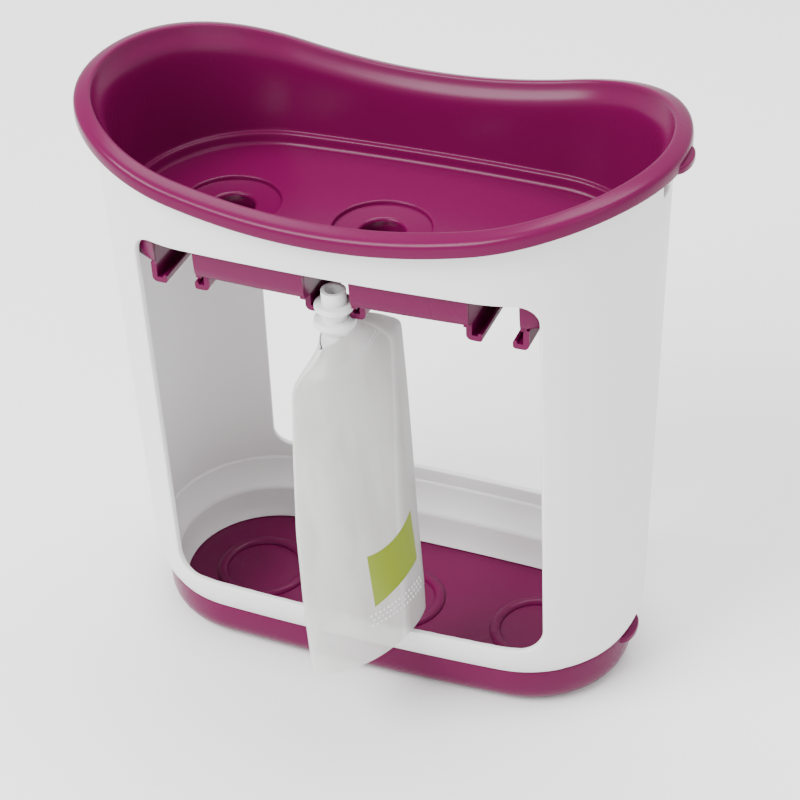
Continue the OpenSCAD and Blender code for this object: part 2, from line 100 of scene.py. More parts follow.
class Finish(Tree):
    def __init__(self, name, constants):
        self.material = bpy.data.materials.new(name)
        self.material.use_nodes = True
        super().__init__(self.material.node_tree)
        self.shader = self.tree.nodes["Principled BSDF"]
        for label, value in constants.items():
            self.shader.inputs[label].default_value = value
        self.place = self.node("ShaderNodeTexCoord", {}, {}, "Object")
        self.uv = self.node("ShaderNodeTexCoord", {}, {}, "UV")

    def noise(self, scale, detail=2.0, rough=0.5, stretch=(1, 1, 1)):
        spot = self.node("ShaderNodeMapping", {}, {0: self.place, "Scale": stretch})
        return self.node("ShaderNodeTexNoise", {},
                         {"Vector": spot, "Scale": scale, "Detail": detail, "Roughness": rough})

    def soft(self, value, start, end, low=0.0, high=1.0):
        # a smooth step from low at start to high at end
        return self.node("ShaderNodeMapRange", {"interpolation_type": "SMOOTHSTEP"},
                         {0: value, 1: start, 2: end, 3: low, 4: high})

    def blend(self, mask, colourA, colourB):
        return self.node("ShaderNodeMix", {"data_type": "RGBA"}, {0: mask, 6: colourA, 7: colourB}, 2)

    def between(self, mask, low, high):
        return mask * (high - low) + low

    def surface(self, sockets):
        for label, value in sockets.items():
            self.feed(self.shader.inputs[label], value)

    def bump(self, height, strength, distance):
        normal = self.node("ShaderNodeBump", {}, {"Strength": strength, "Distance": distance, "Height": height})
        self.surface({"Normal": normal})


def rgb(r, g, b):
    return (r, g, b, 1.0)


mouldLook = {"refraction": 1.49, "driftScale": 9, "sparkScale": 2600, "depth": 0.00008,
             "flowScale": 34, "flowStretch": (1, 1, 0.35), "flowShare": 3.0}
plasticLooks = {
    "magenta": {"colour": (0.116, 0.0010, 0.046), "tint": (0.098, 0.0008, 0.038),
                "rough": (0.22, 0.30), "shine": 0.17, "grain": 0.08},
    "white": {"colour": (0.800, 0.800, 0.798), "tint": (0.765, 0.767, 0.768),
              "rough": (0.36, 0.44), "shine": 0.42, "grain": 0.07},
    "spout": {"colour": (0.780, 0.785, 0.785), "tint": (0.730, 0.740, 0.745),
              "rough": (0.26, 0.36), "shine": 0.50, "grain": 0.08},
    "rubber": {"colour": (0.210, 0.200, 0.205), "tint": (0.160, 0.155, 0.158),
               "rough": (0.70, 0.82), "shine": 0.30, "grain": 0.35},
}


def mouldedPlastic(name, look, mould):
    # satin injection moulding: broad colour drift, faint flow marks, a fine spark texture
    made = Finish(name, {"IOR": mould["refraction"], "Specular IOR Level": look["shine"]})
    drift = made.noise(mould["driftScale"], 3)
    flow = made.noise(mould["flowScale"], 2, 0.6, mould["flowStretch"])
    spark = made.noise(mould["sparkScale"], 2, 0.7)
    made.surface({"Base Color": made.blend(drift, rgb(*look["colour"]), rgb(*look["tint"])),
                  "Roughness": made.between(flow, *look["rough"])})
    made.bump(spark + flow * mould["flowShare"], look["grain"], mould["depth"])
    return made.material


plastics = {key: mouldedPlastic(key + "Plastic", look, mouldLook) for key, look in plasticLooks.items()}
print("finishes ready")


# the station's plan is a four-arc oval: round ends joined by long sides that bow out

stationShape = {
    "sideBow": 1.5, "endShare": 0.62,
    "rimHalfLength": 116.0, "rimHalfDepth": 65.0, "rimMiddle": 222.3,
    "rimRise": 19.8, "rimSweep": 2.1, "rimEase": 1.6,
    "skirtDepth": 7.6, "rimRoll": 7.0, "rimOverhang": 6.8,
}


def arcs(a, b):
    r = b - stationShape["sideBow"]
    side = (a * a - 2 * a * r + b * b) / (2 * (b - r))
    return r, side, np.arctan2(a - r, side - b)


def ovalAt(a, b, q):
    # q runs 0 to 4 anticlockwise from the +X end, one unit to a quarter
    q = np.asarray(q, float) % 4
    quadrant = np.floor(q).astype(int)
    part = np.where(quadrant % 2 == 0, q - quadrant, 1 - (q - quadrant))
    r, side, lean = arcs(np.asarray(a, float), np.asarray(b, float))
    share = stationShape["endShare"]
    turnEnd = (math.pi / 2 - lean) * np.minimum(part, share) / share
    turnSide = lean * (1 - (np.maximum(part, share) - share) / (1 - share))
    onEnd = part <= share
    x = np.where(onEnd, a - r + r * np.cos(turnEnd), side * np.sin(turnSide))
    y = np.where(onEnd, r * np.sin(turnEnd), side * np.cos(turnSide) - side + b)
    signX = np.where((quadrant == 1) | (quadrant == 2), -1, 1)
    signY = np.where(quadrant > 1, -1, 1)
    return x * signX, y * signY


def ovalPlace(x, sideSign, a, b):
    # the q of the point at x on the side where y has sideSign
    r, side, lean = arcs(a, b)
    share = stationShape["endShare"]
    ax = abs(x)
    if ax <= side * math.sin(lean):
        part = share + (1 - share) * (1 - math.asin(ax / side) / lean)
    else:
        part = share * math.acos((ax - a + r) / r) / (math.pi / 2 - lean)
    if sideSign > 0:
        return part if x > 0 else 2 - part
    return 4 - part if x > 0 else 2 + part


def rimRise(x):
    share = np.minimum(np.abs(x) / stationShape["rimHalfLength"], 1)
    return stationShape["rimRise"] * (1 - (1 - share ** stationShape["rimSweep"]) ** stationShape["rimEase"])


def newPiece(name, points, faces, finish, smoothTo=35):
    mesh = bpy.data.meshes.new(name)
    mesh.from_pydata([tuple(p) for p in np.asarray(points) * mm], [], [list(map(int, f)) for f in faces])
    mesh.update()
    piece = bpy.data.objects.new(name, mesh)
    bpy.context.collection.objects.link(piece)
    mesh.materials.append(finish)
    smoothen(piece, smoothTo)
    return piece


def smoothen(piece, degrees):
    mesh = piece.data
    mesh.polygons.foreach_set("use_smooth", [True] * len(mesh.polygons))
    mesh.set_sharp_from_angle(angle=math.radians(degrees))
    mesh.update()


def ringFaces(count, rings, closed):
    faces = []
    for k in range(rings if closed else rings - 1):
        for i in range(count):
            j, up = (i + 1) % count, (k + 1) % rings
            faces.append((k * count + i, k * count + j, up * count + j, up * count + i))
    return faces


def addModifier(piece, kind, **settings):
    modifier = piece.modifiers.new(kind.title(), kind)
    for key, value in settings.items():
        setattr(modifier, key, value)
    return modifier


def settle(piece):
    # the modifiers' result becomes the piece's own plain mesh
    bpy.context.view_layer.update()
    evaluated = piece.evaluated_get(bpy.context.evaluated_depsgraph_get())
    mesh = bpy.data.meshes.new_from_object(evaluated)
    piece.modifiers.clear()
    old = piece.data
    piece.data = mesh
    bpy.data.meshes.remove(old)
    return piece


def drop(*pieces):
    for piece in pieces:
        bpy.data.objects.remove(piece)


class Growth(Tree):
    # a Geometry Nodes tree with named inputs, settled into a plain mesh when it is done
    kinds = {int: "NodeSocketInt", float: "NodeSocketFloat", tuple: "NodeSocketVector"}

    def __init__(self, name, **values):
        self.group = bpy.data.node_groups.new(name, "GeometryNodeTree")
        super().__init__(self.group)
        sockets = self.group.interface
        sockets.new_socket("source", in_out="INPUT", socket_type="NodeSocketGeometry")
        self.values = []
        for key, value in values.items():
            socket = sockets.new_socket(key, in_out="INPUT", socket_type=self.kinds[type(value)])
            self.values.append((socket.identifier, value))
        sockets.new_socket("result", in_out="OUTPUT", socket_type="NodeSocketGeometry")
        entry = self.group.nodes.new("NodeGroupInput")
        self.given = {socket.name: Value(self, socket) for socket in entry.outputs}

    def vector(self, x, y, z):
        return self.node("ShaderNodeCombineXYZ", {}, {0: x, 1: y, 2: z})

    def grown(self, name, geometry, finish, source=None):
        whole = self.node("GeometryNodeRealizeInstances", {}, {0: geometry})
        painted = self.node("GeometryNodeSetMaterial", {}, {"Geometry": whole, "Material": finish})
        leave = self.group.nodes.new("NodeGroupOutput")
        self.feed(leave.inputs[0], painted)
        piece = bpy.data.objects.new(name, source or bpy.data.meshes.new(name))
        bpy.context.collection.objects.link(piece)
        modifier = addModifier(piece, "NODES", node_group=self.group)
        for identifier, value in self.values:
            modifier[identifier] = value
        settle(piece)
        smoothen(piece, 50)
        return piece


# the camera stands where the photograph was taken from

cameraLook = {"lens": 100.97, "azimuth": 22.63, "elevation": 35.11, "roll": -2.37, "distance": 882.4,
              "aim": (3.19, 0.0, 115.0), "shiftX": 0.0046, "shiftY": -0.0189}


def makeCamera(look):
    azimuth, elevation, roll = (math.radians(look[key]) for key in ("azimuth", "elevation", "roll"))
    flatBack = Vector((math.sin(azimuth), -math.cos(azimuth), 0))
    back = flatBack * math.cos(elevation) + Vector((0, 0, math.sin(elevation)))
    level = Vector((math.cos(azimuth), math.sin(azimuth), 0))
    upright = level.cross(-back)
    right = level * math.cos(roll) + upright * math.sin(roll)
    up = upright * math.cos(roll) - level * math.sin(roll)
    data = bpy.data.cameras.new("camera")
    data.lens, data.sensor_width = look["lens"], 36
    data.shift_x, data.shift_y = look["shiftX"], look["shiftY"]
    data.clip_start, data.clip_end = 0.05, 20
    camera = bpy.data.objects.new("camera", data)
    bpy.context.collection.objects.link(camera)
    turn = Matrix((right, up, back)).transposed().to_4x4()
    camera.matrix_world = Matrix.Translation((Vector(look["aim"]) + back * look["distance"]) * mm) @ turn
    bpy.context.scene.camera = camera


makeCamera(cameraLook)


# studio: a white sweep, an even pale sky and soft boxes

studioLook = {"skyStrength": 1.25, "floor": (0.93, 0.93, 0.925), "floorDrift": 0.995, "floorHalf": 6000,
              "aim": (0, 0, 0.12),
              "boxes": (  # name, place in metres, width, depth, watts
                  ("keyBox", (-0.9, -1.1, 1.5), 1.2, 0.9, 62),
                  ("fillBox", (1.4, -0.9, 0.9), 1.0, 1.4, 6),
                  ("topBox", (0.1, 0.5, 1.9), 1.6, 0.8, 34))}


def makeStudio(look):
    world = bpy.data.worlds.new("paleSky")
    world.use_nodes = True
    sky = world.node_tree.nodes["Background"]
    sky.inputs[0].default_value = rgb(1, 1, 1)
    sky.inputs[1].default_value = look["skyStrength"]
    bpy.context.scene.world = world
    for name, place, width, depth, watts in look["boxes"]:
        light = bpy.data.lights.new(name, "AREA")
        light.shape, light.size, light.size_y, light.energy = "RECTANGLE", width, depth, watts
        box = bpy.data.objects.new(name, light)
        bpy.context.collection.objects.link(box)
        box.location = place
        box.rotation_euler = (Vector(look["aim"]) - Vector(place)).to_track_quat("-Z", "Y").to_euler()
    paint = Finish("sweepPaint", {"Roughness": 0.9, "Specular IOR Level": 0.1})
    grain = paint.noise(3, 2)
    shade = [c * look["floorDrift"] for c in look["floor"]]
    paint.surface({"Base Color": paint.blend(grain, rgb(*look["floor"]), rgb(*shade))})
    half = look["floorHalf"]
    corners = [(-half, -half, 0), (half, -half, 0), (half, half, 0), (-half, half, 0)]
    floor = newPiece("floor", corners, [(0, 1, 2, 3)], paint.material)


makeStudio(studioLook)
print("camera and studio ready")


# shell: a flared oval wall, with two windows and a snap slot at each end

shellLook = {
    "footHalfLength": 104.7, "footHalfDepth": 48.5, "footHeight": 18.7, "wall": 2.5,
    "tuckIn": 4.0, "tuckHeight": 14.0, "lipThickness": 1.4, "lipDepth": 6.0,
    "ledge": 31.2, "ledgeWidth": 0.7, "tongue": 1.8, "gap": 0.2,
    "wellFloor": 4.4, "wellWall": 2.3, "wellRound": 2.4,
    "windowTop": 198.0, "windowCorner": 9.0,
    "windows": (  # side, lower edge, half widths at its foot and top
        (-1, 33.6, 78.5, 78.8),
        (1, 38.0, 74.0, 76.8)),
    "groove": 0.9, "grooveInset": 0.35, "grooveHeight": 21.4,
    "slotWidth": 8.0, "slotHeight": 5.5, "slotDrop": 18.2, "edgeRadius": 0.75, "meshStep": 4.2,
}


def shellSize(look, z):
    shape = stationShape
    top = shape["rimMiddle"] - shape["skirtDepth"] + 1
    share = (z - look["footHeight"]) / (top - look["footHeight"])
    tuck = look["tuckIn"] * np.maximum(0, 1 - (z - look["footHeight"]) / look["tuckHeight"]) ** 2
    half = []
    for foot, rim in (("footHalfLength", "rimHalfLength"), ("footHalfDepth", "rimHalfDepth")):
        half.append(look[foot] + (shape[rim] - shape["rimOverhang"] - look[foot]) * share - tuck)
    return half


def roundedOutline(corners, radius, step):
    # closed outline through four corners given anticlockwise, each turned with the radius
    points = []
    for i, corner in enumerate(corners):
        here, before, after = (np.array(c, float) for c in (corner, corners[i - 1], corners[(i + 1) % 4]))
        inward = [(other - here) / np.linalg.norm(other - here) for other in (before, after)]
        opening = math.acos(np.clip(inward[0] @ inward[1], -1, 1))
        reach = radius / math.tan(opening / 2)
        across = (inward[0] + inward[1]) / np.linalg.norm(inward[0] + inward[1])
        centre = here + across * radius / math.sin(opening / 2)
        starts = [here + way * reach - centre for way in inward]
        first, last = (math.atan2(start[1], start[0]) for start in starts)
        sweep = (last - first + math.pi) % (2 * math.pi) - math.pi
        for k in range(9):
            turn = first + sweep * k / 8
            points.append(centre + radius * np.array([math.cos(turn), math.sin(turn)]))
    outline = []
    for i, here in enumerate(points):
        gap = points[(i + 1) % len(points)] - here
        parts = max(1, int(np.linalg.norm(gap) / step))
        outline += [here + gap * k / parts for k in range(parts)]
    return np.array(outline)


def nearest(points, outline):
    # how far each point is from the closed outline
    best = np.full(len(points), 1e9)
    for p, q in zip(outline, np.roll(outline, -1, 0)):
        d = q - p
        t = np.clip(((points - p) @ d) / (d @ d), 0, 1)
        best = np.minimum(best, np.linalg.norm(points - p - t[:, None] * d, axis=1))
    return best


def inside(points, outline):
    # True for the points that the closed outline goes round
    odd = np.zeros(len(points), bool)
    for p, q in zip(outline, np.roll(outline, -1, 0)):
        crosses = (p[1] > points[:, 1]) != (q[1] > points[:, 1])
        with np.errstate(divide="ignore", invalid="ignore"):
            at = p[0] + (points[:, 1] - p[1]) * (q[0] - p[0]) / (q[1] - p[1])
        odd ^= crosses & (points[:, 0] < at)
    return odd


def cutSheet(border, holes, spots):
    # flat triangles inside the border, outside the holes, through the spots
    loops, start = [], 0
    for loop in [border] + holes:
        count = len(loop)
        loops += [(start + i, start + (i + 1) % count) for i in range(count)]
        start += count
    everything = np.concatenate([border] + holes + ([spots] if len(spots) else []))
    points, _, triangles, *_ = delaunay_2d_cdt([Vector(p) for p in everything], loops, [], 1, 1e-5)
    points = np.array([tuple(p) for p in points])
    triangles = np.array([t for t in triangles if len(t) == 3])
    middles = points[triangles].mean(1)
    keep = np.ones(len(triangles), bool)
    for hole in holes:
        keep &= ~inside(middles, hole)
    return points, triangles[keep]


def thicken(triangles, count, isSeam=lambda i, j: False):
    # faces of a front sheet, a back sheet whose points follow after count, and the walls between them
    faces = [tuple(t) for t in triangles] + [tuple(t[::-1] + count) for t in triangles]
    uses = {(t[i], t[(i + 1) % 3]) for t in triangles for i in range(3)}
    edges = [(i, j) for i, j in sorted(uses) if (j, i) not in uses and not isSeam(i, j)]
    faces += [(j, i, i + count, j + count) for i, j in edges]
    return faces


def mergeDoubles(piece, distance=1e-6):
    body = bmesh.new()
    body.from_mesh(piece.data)
    bmesh.ops.remove_doubles(body, verts=body.verts, dist=distance)
    body.to_mesh(piece.data)
    body.free()


def makeShell(look):
    midA, midB = shellSize(look, 110.0)
    r, side, lean = arcs(midA, midB)
    quarter = r * (math.pi / 2 - lean) + side * lean       # flat length of one quarter
    seam = 0.28                                            # q where the flat pattern starts
    topZ = stationShape["rimMiddle"] - stationShape["skirtDepth"] + 1

    def topEdge(q):
        z = np.full(np.shape(q), topZ + 10.0)
        for _ in range(4):
            a, b = shellSize(look, z)
            z = topZ + rimRise(ovalAt(a, b, q)[0])
        return z

    def flat(q, z):
        return np.stack([(np.asarray(q) - seam) * quarter, np.asarray(z, float)], -1)

    holes = []
    for sign, low, footHalf, topHalf in look["windows"]:
        high = look["windowTop"]
        corners = [(-footHalf, low), (footHalf, low), (topHalf, high), (-topHalf, high)]
        outline = roundedOutline(corners, look["windowCorner"], 3.0)
        q = [ovalPlace(x, sign, *shellSize(look, z)) for x, z in outline]
        q = [v + 4 if v < seam else v for v in q]
        hole = flat(q, outline[:, 1])
        holes.append(hole if sign < 0 else hole[::-1])
    slotZ = stationShape["rimMiddle"] + stationShape["rimRise"] - look["slotDrop"]
    half, low, high = look["slotWidth"] / 2, slotZ - look["slotHeight"] / 2, slotZ + look["slotHeight"] / 2
    for centreQ in (2.0, 4.0):
        outline = roundedOutline([(-half, low), (half, low), (half, high), (-half, high)], 0.8, 2.0)
        a, b = shellSize(look, slotZ)
        r, side, lean = arcs(a, b)
        q = centreQ + np.arcsin(outline[:, 0] / r) * stationShape["endShare"] / (math.pi / 2 - lean)
        holes.append(flat(q, outline[:, 1]))

    columns = np.linspace(seam, seam + 4, int(4 * quarter / look["meshStep"]) + 1)
    foot, low = look["footHeight"], look["wellFloor"] + look["gap"]
    tongueRows = low - 1 + (foot - low) * np.array([0, .09, .2, .34, .54, .8, 1.0])
    ledgeRows = look["ledge"] + np.array([-0.6, 0, look["ledgeWidth"]])
    rows = np.concatenate([tongueRows, foot + np.array([0, 1.3, 2.8, 4.6, 6.8, 9.4]), ledgeRows,
                           np.arange(ledgeRows[-1] + 2.6, topZ + 40, look["meshStep"])])
    grid = []
    for q, top in zip(columns[1:-1], topEdge(columns[1:-1])):
        grid += [(q, z) for z in rows[1:] if z < top - 9] + [(q, top - drop) for drop in (7.0, 6.0, 3.0)]
    grid = np.array(grid)
    spots = flat(grid[:, 0], grid[:, 1])
    clear = np.ones(len(spots), bool)
    for hole in holes:
        clear &= (nearest(spots, hole) > 1.7) & ~inside(spots, hole)
    spots = spots[clear]

    topSeam = float(topEdge(np.array([seam]))[0])
    seamRows = [z for z in rows if z < topSeam - 9] + [topSeam - 7, topSeam - 6, topSeam - 3, topSeam]
    bottom = flat(columns, np.full(len(columns), rows[0]))
    right = flat(np.full(len(seamRows) - 2, seam + 4), seamRows[1:-1])
    top = flat(columns, topEdge(columns))[::-1]
    left = flat(np.full(len(seamRows) - 2, seam), seamRows[1:-1])[::-1]
    border = np.concatenate([bottom, right, top, left])
    points, triangles = cutSheet(border, holes, spots)

    # below the foot the sheet turns in under the wall and goes on down as the tongue
    q, z = points[:, 0] / quarter + seam, points[:, 1]
    a, b = shellSize(look, np.maximum(z, foot))
    onTongue = z < foot - 0.5
    zOuter = np.where(onTongue, z + 1, z)
    zInner = np.where(onTongue, low + (z - low + 1) * (foot - low) / (foot - low + 1), z)
    wellIn = look["wellWall"] + look["wellRound"] * (1 - np.clip((zOuter - low) / (foot - low), 0, 1)) ** 3
    thick = look["wall"] + look["ledgeWidth"]
    lining = look["wellWall"] + look["gap"] + look["tongue"] - thick
    above = thick + lining * np.clip(1 - (z - foot) / look["tuckHeight"], 0, 1) ** 1.5
    above = np.interp(z, ledgeRows[1:], (0, 1)) * (look["wall"] - above) + above
    above = np.where(z > topEdge(q) - look["lipDepth"] - 0.5, look["lipThickness"], above)
    depth = np.where(onTongue, wellIn + look["gap"], 0)
    outer = np.stack([*ovalAt(a - depth, b - depth, q), zOuter], -1)
    depth = np.where(onTongue, wellIn + look["gap"] + look["tongue"], above)
    inner = np.stack([*ovalAt(a - depth, b - depth, q), zInner], -1)
    count = len(points)
    onSeam = (points[:, 0] < 1e-6) | (points[:, 0] > 4 * quarter - 1e-3)

    def isSeam(i, j):
        return onSeam[i] and onSeam[j] and abs(points[i, 0] - points[j, 0]) < 1e-6

    faces = thicken(triangles, count, isSeam)
    shell = newPiece("shellBody", np.concatenate([outer, inner]), faces, plastics["white"], 60)
    mergeDoubles(shell)
    addModifier(shell, "BEVEL", width=look["edgeRadius"] * mm, segments=3, limit_method="ANGLE",
                angle_limit=math.radians(60), use_clamp_overlap=True)
    settle(shell)
    smoothen(shell, 40)
    return shell


def block(name, low, high, finish, roundness=0.0):
    plan = ((low[0], low[1]), (high[0], low[1]), (high[0], high[1]), (low[0], high[1]))
    corners = [(x, y, z) for z in (low[2], high[2]) for x, y in plan]
    faces = [(3, 2, 1, 0), (4, 5, 6, 7), (0, 1, 5, 4), (1, 2, 6, 5), (2, 3, 7, 6), (3, 0, 4, 7)]
    made = newPiece(name, corners, faces, finish)
    if roundness:
        addModifier(made, "BEVEL", width=roundness * mm, segments=3)
        settle(made)
        smoothen(made, 50)
    return made


def cutWith(piece, cutters, operation="DIFFERENCE"):
    # each cutter is used up
    for cutter in cutters:
        addModifier(piece, "BOOLEAN", object=cutter, operation=operation, solver="EXACT")
        settle(piece)
        drop(cutter)


shellBody = makeShell(shellLook)
slotZ = stationShape["rimMiddle"] + stationShape["rimRise"] - shellLook["slotDrop"]
endIn = float(shellSize(shellLook, slotZ)[0]) - shellLook["wall"]
groove, halfGroove = shellLook["groove"], shellLook["slotWidth"] / 2 - shellLook["grooveInset"]
for side in (-1, 1):
    low = (side * endIn - groove, -halfGroove, slotZ)
    high = (side * endIn + groove, halfGroove, slotZ + shellLook["grooveHeight"])
    cutWith(shellBody, [block("cutter", low, high, plastics["white"])])
smoothen(shellBody, 40)
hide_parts("shell")
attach(shellBody, "shell_unit")
print("shell ready", len(shellBody.data.polygons))


# tray: the rolled rim and the tub's wall are one loft

trayLook = {
    "floor": 187.0, "floorThickness": 2.2, "wall": 2.2, "ledgeHeight": 4.5, "ledgeWidth": 2.0,
    "underRound": 3.0, "gap": 0.4, "holePitch": 62.0, "holeRadius": 8.9,
    "seatRadius": 19.0, "seatDepth": 1.8, "seatFloor": 2.0,
    "channelWidth": 18.0, "slotWidth": 10.6, "roofFront": 12.0, "roofBack": 2.6, "roof": 2.0,
    "coverInset": 1.3, "coverPlay": 0.1, "coverRound": 1.1,
    "noseOut": 0.6, "noseLength": 3.0, "noseWidth": 7.0, "noseHeight": 4.5, "noseRound": 0.4,
    "tabLength": 19.0, "tabOut": 2.2, "tabThickness": 3.0, "tabRaise": 1.5, "tabBlunt": 0.8,
}


def loftRings(profile, count, halfLength, halfDepth):
    # profile rows: inset, height, 1 where the height follows the rim's sweep, and any further inset along X
    q = np.arange(count) * 4 / count
    points = []
    for inset, height, follows, *more in profile:
        x, y = ovalAt(halfLength - inset - sum(more), halfDepth - inset, q)
        z = stationShape["rimMiddle"] + height + rimRise(x) if follows else np.full(count, float(height))
        points.append(np.stack([x, y, z], -1))
    return np.concatenate(points)


def makeTrayWall(look):
    shape = stationShape
    roll, skirt = shape["rimRoll"], shape["skirtDepth"]
    tubIn = shape["rimOverhang"] + shellLook["wall"] + look["gap"]
    tubLow = tubIn + 1.3
    under = look["floor"] - look["floorThickness"]
    wallIn = tubLow + look["wall"]
    ledge = look["floor"] + look["ledgeHeight"]
    floor, innerWall, ledgeIn = look["floor"], tubIn + look["wall"], wallIn + look["ledgeWidth"]
    profile = [
        # underside and outer wall
        (tubLow + look["underRound"], under, 0), (tubLow + 0.9, under + 0.9, 0),
        (tubLow, under + look["underRound"], 0),
        (tubIn + 0.3, -skirt - 14, 1), (tubIn, -skirt - 5, 1), (tubIn - 0.4, -skirt - 1.6, 1),
        # inside of the roll, and its skirt
        (roll + 1.6, -skirt + 1.6, 1), (roll - 0.6, -4.2, 1), (roll - 2.6, -3.6, 1), (2.4, -4.2, 1),
        (2, -skirt + 0.2, 1), (1.9, -skirt, 1), (0.5, -skirt, 1), (0.1, -skirt + 0.25, 1),
        (0, -skirt + 0.8, 1), (0, -3.6, 1),
        # top of the roll
        (0.6, -2.2, 1), (2.2, -1.3, 1), (roll - 2.4, -0.5, 1), (roll - 1.2, -0.1, 1),
        (roll - 0.4, -0.2, 1), (roll, -1.2, 1),
        # inner wall, ledge and the floor's edge
        (roll + 1.2, -4, 1), (roll + 3.6, -skirt + 1.2, 1), (innerWall - 0.6, -skirt - 2, 1),
        (innerWall, -skirt - 6, 1), (wallIn, ledge + 2, 0), (wallIn + 0.1, ledge + 0.6, 0),
        (wallIn + 0.5, ledge + 0.1, 0), (ledgeIn - 0.5, ledge, 0), (ledgeIn, ledge - 0.4, 0),
        (ledgeIn + 0.3, floor + 1.4, 0), (ledgeIn + 0.7, floor + 0.3, 0), (ledgeIn + 2.2, floor - 0.3, 0)]
    count = 176
    points = loftRings(profile, count, shape["rimHalfLength"], shape["rimHalfDepth"])
    faces = ringFaces(count, len(profile), True)
    wall = newPiece("trayWall", points, faces, plastics["magenta"])
    addModifier(wall, "SUBSURF", levels=1, render_levels=1)
    return wall, tubLow, wallIn


def channelSide(look, grow, tubLow):
    # side view (y, z) of the way for a pouch's spout, from the front to the seat; grow raises its roof
    front, seat = -stationShape["rimHalfDepth"], -look["seatRadius"]
    under, low = look["floor"] - look["floorThickness"] - 3, look["floor"] - look["seatDepth"]
    roofFront, roofBack = look["floor"] + look["roofFront"] + grow, look["floor"] + look["roofBack"] + grow
    bend = tubLow + front + 6
    return [(front, under), (front, roofFront), (bend, roofFront), (bend + 16, roofBack),
            (seat + 3, roofBack), (seat + 3, low), (seat, low), (seat, under)]


def prismAcross(name, side, width, centre, finish):
    # a side view (y, z), run along X
    count = len(side)
    points = [(centre + s * width / 2, y, z) for s in (-1, 1) for y, z in side]
    faces = [tuple(range(count)), tuple(range(2 * count - 1, count - 1, -1))]
    faces += [(i, i + count, (i + 1) % count + count, (i + 1) % count) for i in range(count)]
    made = newPiece(name, points, faces, finish)
    body = bmesh.new()
    body.from_mesh(made.data)
    bmesh.ops.recalc_face_normals(body, faces=body.faces)
    body.to_mesh(made.data)
    body.free()
    return made


def circleAt(radius, count, centre=0.0):
    turn = np.arange(count) * 2 * math.pi / count
    return np.stack([centre + radius * np.cos(turn), radius * np.sin(turn)], -1)


def drum(name, outline, low, high, finish):
    # an upright prism on an anticlockwise outline
    count = len(outline)
    points = [(x, y, z) for z in (low, high) for x, y in outline]
    faces = ringFaces(count, 2, False) + [tuple(range(count - 1, -1, -1)), tuple(range(count, 2 * count))]
    return newPiece(name, points, faces, finish)


def ovalOutline(inset, count):
    a, b = stationShape["rimHalfLength"] - inset, stationShape["rimHalfDepth"] - inset
    return np.stack(ovalAt(a, b, np.arange(count) * 4 / count), -1)


def channelCutter(look, tubLow, x):
    return prismAcross("cutter", channelSide(look, 0, tubLow), look["channelWidth"], x, plastics["magenta"])


def keyholeCutter(look, x):
    # the slot from the seat's front to the filling hole
    half, floor = look["slotWidth"] / 2, look["floor"]
    low, high = (x - half, -look["seatRadius"] - 1, floor - 6), (x + half, 0, floor - look["seatDepth"] + 1)
    return block("cutter", low, high, plastics["magenta"])


def makeSeat(look, x):
    # round seat for a press tube, with the filling hole in its middle
    floor, seat, hole = look["floor"], look["seatRadius"], look["holeRadius"]
    low = floor - look["seatDepth"]
    under = low - look["seatFloor"]
    profile = [(seat + 1, floor), (seat + 0.6, floor - 0.03), (seat + 0.25, floor - 0.2),
               (seat + 0.05, floor - 0.5),
               (seat, low + 0.5), (seat - 0.15, low + 0.15), (seat - 0.6, low),
               (hole + 1.4, low), (hole + 0.6, low - 0.15), (hole + 0.15, low - 0.55), (hole, low - 1),
               (hole, under + 0.3), (hole + 0.3, under),
               (seat + 1.7, under), (seat + 2, under + 0.3), (seat + 2, under + 1.6), (seat + 1.5, floor - 0.5)]
    count = 96
    rings = [np.column_stack([circleAt(radius, count, x), np.full(count, z)]) for radius, z in profile]
    return newPiece("seat", np.concatenate(rings), ringFaces(count, len(profile), True), plastics["magenta"])


def makeChannelCover(look, tubLow, x):
    # the roof and side walls over a channel, from the tray's front wall to the seat
    finish, play = plastics["magenta"], look["coverPlay"]
    under, high = look["floor"] - look["floorThickness"] + 0.05, look["floor"] + 30
    low = look["floor"] - look["seatDepth"]
    side = channelSide(look, look["roof"], tubLow)
    cover = prismAcross("cover", side, look["channelWidth"] + 2 * look["roof"], x, finish)
    addModifier(cover, "BEVEL", width=look["coverRound"] * mm, segments=3, limit_method="ANGLE",
                angle_limit=math.radians(20))
    settle(cover)
    # the cutters keep a little clear of the tray's own faces, because faces in one plane spoil the cut
    outline = ovalOutline(tubLow + look["coverInset"], 96)
    cutWith(cover, [drum("cutter", outline, under, high, finish)], "INTERSECT")
    way = channelSide(look, -play, tubLow)
    cutWith(cover, [prismAcross("cutter", way, look["channelWidth"] - 2 * play, x, finish)])
    cutWith(cover, [drum("cutter", circleAt(look["seatRadius"], 96, x), low, high, finish)])
    return cover


def makeTab(name, root, reach, z, look, finish, sides=(-1, 1)):
    # pull tab in the shape of a half moon on the +X end; side -1 turns it to the other end
    turns = np.radians(np.linspace(-90, 90, 19))
    out = root + (reach - root) * np.cos(turns) ** look["tabBlunt"]
    outline = np.stack([out, look["tabLength"] / 2 * np.sin(turns)], -1)
    tabs = []
    for side in sides:
        tab = drum(name, outline * (side, side), z, z + look["tabThickness"], finish)
        addModifier(tab, "BEVEL", width=0.7 * mm, segments=3, limit_method="ANGLE",
                    angle_limit=math.radians(50))
        settle(tab)
        tabs.append(tab)
    return tabs


def joined(name, pieces):
    with bpy.context.temp_override(active_object=pieces[0], selected_editable_objects=pieces):
        bpy.ops.object.join()
    pieces[0].name = name
    smoothen(pieces[0], 40)
    return pieces[0]


def handOver(piece, slot, body, *nodes):
    # the piece joins a body, and the CAD nodes it stands for are hidden
    if nodes:
        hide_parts(*nodes)
    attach(piece, body)


